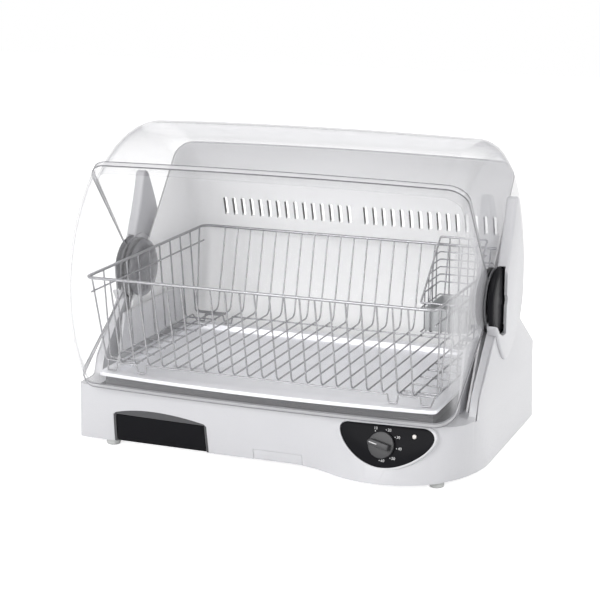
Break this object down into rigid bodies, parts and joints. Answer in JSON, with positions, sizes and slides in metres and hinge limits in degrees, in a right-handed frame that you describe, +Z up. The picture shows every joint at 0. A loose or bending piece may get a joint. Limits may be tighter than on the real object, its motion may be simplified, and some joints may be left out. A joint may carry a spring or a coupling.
{
  "type": "electric dish dryer",
  "caption": "Countertop electric dish dryer with a clear drum hood that swings open, a wire dish basket, a drip tray, a timer knob and a pull-out drain tank.",
  "frame": {"origin": "middle of the dryer's footprint, on the worktop under its feet", "axes": "+Z up; -Y is the front, where the hood opens and the control panel is; +X is to the right for someone who faces it"},
  "size_m": [0.524, 0.4014, 0.4017],
  "materials": {
    "white_plastic": "moulded, light satin gloss",
    "clear_plastic": "clear, polished",
    "black_gloss": "high gloss",
    "smoke_grey": "dark grey satin",
    "dark_plastic": "satin",
    "tray_steel": "bright stainless sheet",
    "basket_wire": "polished stainless wire",
    "grey_plastic": "moulded, satin",
    "foot_rubber": "matt",
    "seal_rubber": "matt, dark",
    "hardware_steel": "plain",
    "heater_aluminium": "plain",
    "lens": "clear lens"
  },
  "bodies": {
    "dryer": {"base_housing": "white_plastic", "bottom_cover": "white_plastic", "back_housing": "white_plastic", "rear_hood": "clear_plastic", "ear_cover_left": "white_plastic", "ear_cover_right": "white_plastic", "hinge_cap_left": "black_gloss", "hinge_cap_right": "black_gloss", "inner_cap_left": "smoke_grey", "inner_cap_right": "smoke_grey", "hinge_pin_left": "grey_plastic", "hinge_pin_right": "grey_plastic", "foot_front_left": "foot_rubber", "foot_front_right": "foot_rubber", "foot_rear_left": "foot_rubber", "foot_rear_right": "foot_rubber", "cover_screw_front_left": "hardware_steel", "cover_screw_front_right": "hardware_steel", "cover_screw_rear_left": "hardware_steel", "cover_screw_rear_right": "hardware_steel", "drip_tray": "tray_steel", "tray_seal": "seal_rubber", "wire_basket": "basket_wire", "cutlery_basket": "basket_wire", "cutlery_liner": "grey_plastic", "bay_frame": "smoke_grey", "port_cover": "white_plastic", "control_panel": "black_gloss", "timer_unit": "grey_plastic", "pilot_lens": "lens", "fan_motor": "hardware_steel", "fan_scroll": "grey_plastic", "heater": "heater_aluminium", "thermostat": "hardware_steel", "intake_filter": "white_plastic", "cord_gland": "grey_plastic"},
    "hood": {"front_hood": "clear_plastic"},
    "knob": {"timer_knob": "dark_plastic"},
    "tank": {"drain_tank": "dark_plastic", "tank_front": "black_gloss"},
    "fan": {"fan_wheel": "dark_plastic"}
  },
  "joints": [
    {"name": "hood_hinge", "type": "hinge", "parent": "dryer", "child": "hood", "pos_m": [0, 0.002, 0.203], "axis": [-1, 0, 0], "range_deg": [0, 85]},
    {"name": "timer_turn", "type": "hinge", "parent": "dryer", "child": "knob", "pos_m": [0.1575, -0.15356, 0.05366], "axis": [0, 0.9511, -0.309], "range_deg": [0, 261]},
    {"name": "tank_slide", "type": "slide", "parent": "dryer", "child": "tank", "axis": [0, -1, 0], "range_m": [0, 0.13]},
    {"name": "fan_spin", "type": "hinge", "parent": "dryer", "child": "fan", "pos_m": [0.15, 0.097, 0.047], "axis": [0, 0, 1], "continuous": true}
  ]
}
